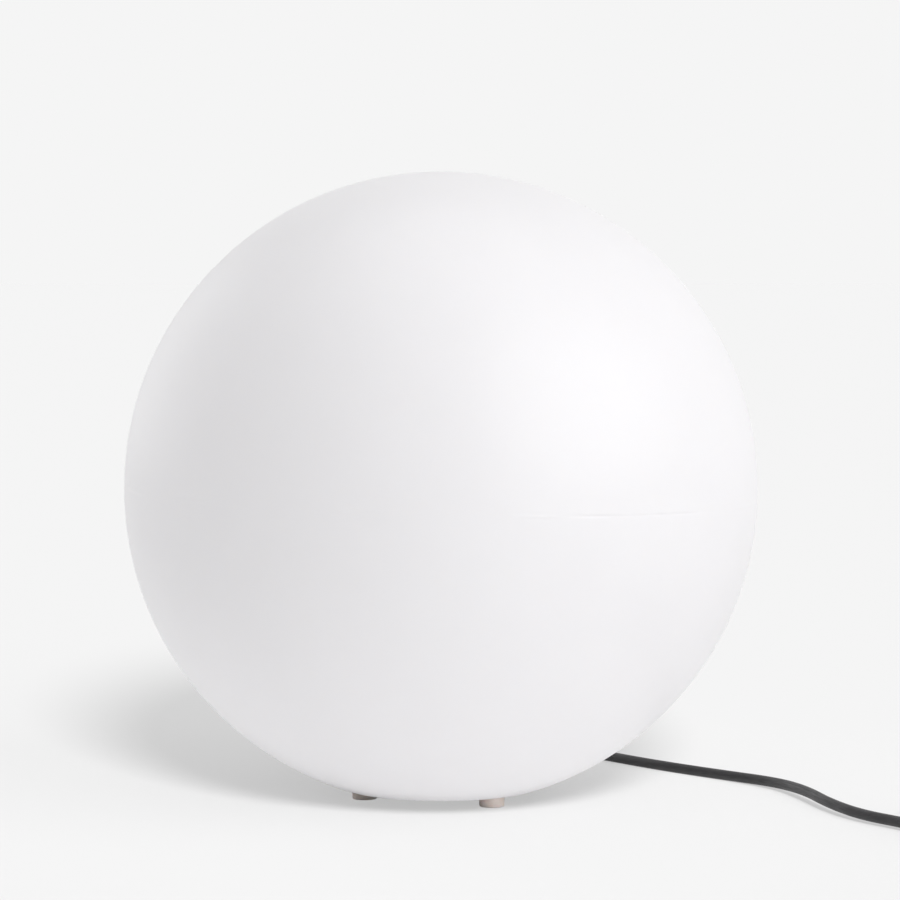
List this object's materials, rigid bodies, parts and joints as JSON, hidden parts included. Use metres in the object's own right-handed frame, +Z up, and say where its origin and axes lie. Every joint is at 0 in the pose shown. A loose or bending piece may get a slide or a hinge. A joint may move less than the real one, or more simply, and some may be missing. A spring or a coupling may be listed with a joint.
{
  "type": "garden globe light",
  "caption": "Opal plastic ball light on rubber feet, with a turret lampholder and bulb inside it, and a rubber mains cable with a two-pin plug.",
  "frame": {"origin": "on the floor, on the ball's axis, at the middle of the three feet", "axes": "+Z up along the ball's axis; -Y towards the side that the picture shows, +X to its right"},
  "size_m": [0.5907, 0.5297, 0.397],
  "materials": {
    "opal_polyethylene": "satin, rotationally moulded, lets light through",
    "beige_silicone": "smooth, slightly see-through",
    "black_epdm": "matt",
    "white_polypropylene": "satin",
    "grey_polyamide": "satin",
    "black_rubber_cable": "matt",
    "black_plug_rubber": "matt, fine texture",
    "brown_core": "smooth",
    "blue_core": "smooth",
    "black_pbt": "fine spark texture",
    "steatite": "unglazed",
    "nickel_brass": "satin nickel plate",
    "plain_brass": "machined",
    "zinc_steel": "zinc plated",
    "stainless": "plain",
    "aluminium_board": "white solder mask",
    "green_board": "solder mask",
    "phosphor": "soft",
    "opal_polycarbonate": "satin",
    "white_pbt": "semi gloss",
    "black_glass": "glossy"
  },
  "bodies": {
    "base": {"rubber_foot_1": "beige_silicone", "rubber_foot_2": "beige_silicone", "rubber_foot_3": "beige_silicone", "foot_washers": "stainless", "foot_screws": "stainless", "base_plate": "white_polypropylene", "base_gasket": "black_epdm", "cable_sleeve": "black_plug_rubber", "cable_inner": "black_rubber_cable", "holder_base": "black_pbt", "holder_screws": "zinc_steel", "cord_clamp": "grey_polyamide", "clamp_screws": "zinc_steel", "holder_insert": "steatite", "holder_shell": "black_pbt", "screw_contact": "nickel_brass", "centre_contact": "nickel_brass", "terminal_blocks": "plain_brass", "terminal_screws": "zinc_steel", "live_core": "brown_core", "neutral_core": "blue_core", "cable_run": "black_rubber_cable", "cable_coil": "black_rubber_cable", "cable_tail": "black_rubber_cable", "coil_ties": "grey_polyamide", "plug_body": "black_plug_rubber", "plug_bridge": "black_pbt", "plug_pins": "nickel_brass"},
    "globe": {"globe_shell": "opal_polyethylene", "shell_inserts": "plain_brass"},
    "bulb_foot": {"bulb_tip": "nickel_brass", "bulb_insulator": "black_glass"},
    "bulb": {"bulb_cap": "nickel_brass", "bulb_housing": "white_pbt", "bulb_board": "aluminium_board", "bulb_leds": "phosphor", "bulb_driver": "green_board", "bulb_envelope": "opal_polycarbonate"}
  },
  "joints": [
    {"name": "globe_lift", "type": "slide", "parent": "base", "child": "globe", "axis": [0, 0, 1], "range_m": [0, 0.23]},
    {"name": "bulb_travel", "type": "slide", "parent": "base", "child": "bulb_foot", "axis": [0, 0, 1], "range_m": [0, 0.01462]},
    {"name": "bulb_turn", "type": "hinge", "parent": "bulb_foot", "child": "bulb", "pos_m": [0, 0, 0.17], "axis": [0, 0, 1], "range_deg": [0, 1440]}
  ],
  "couplings": [
    {"joint": "bulb_travel", "follows": "bulb_turn", "m_per_rad": 0.00057757}
  ]
}
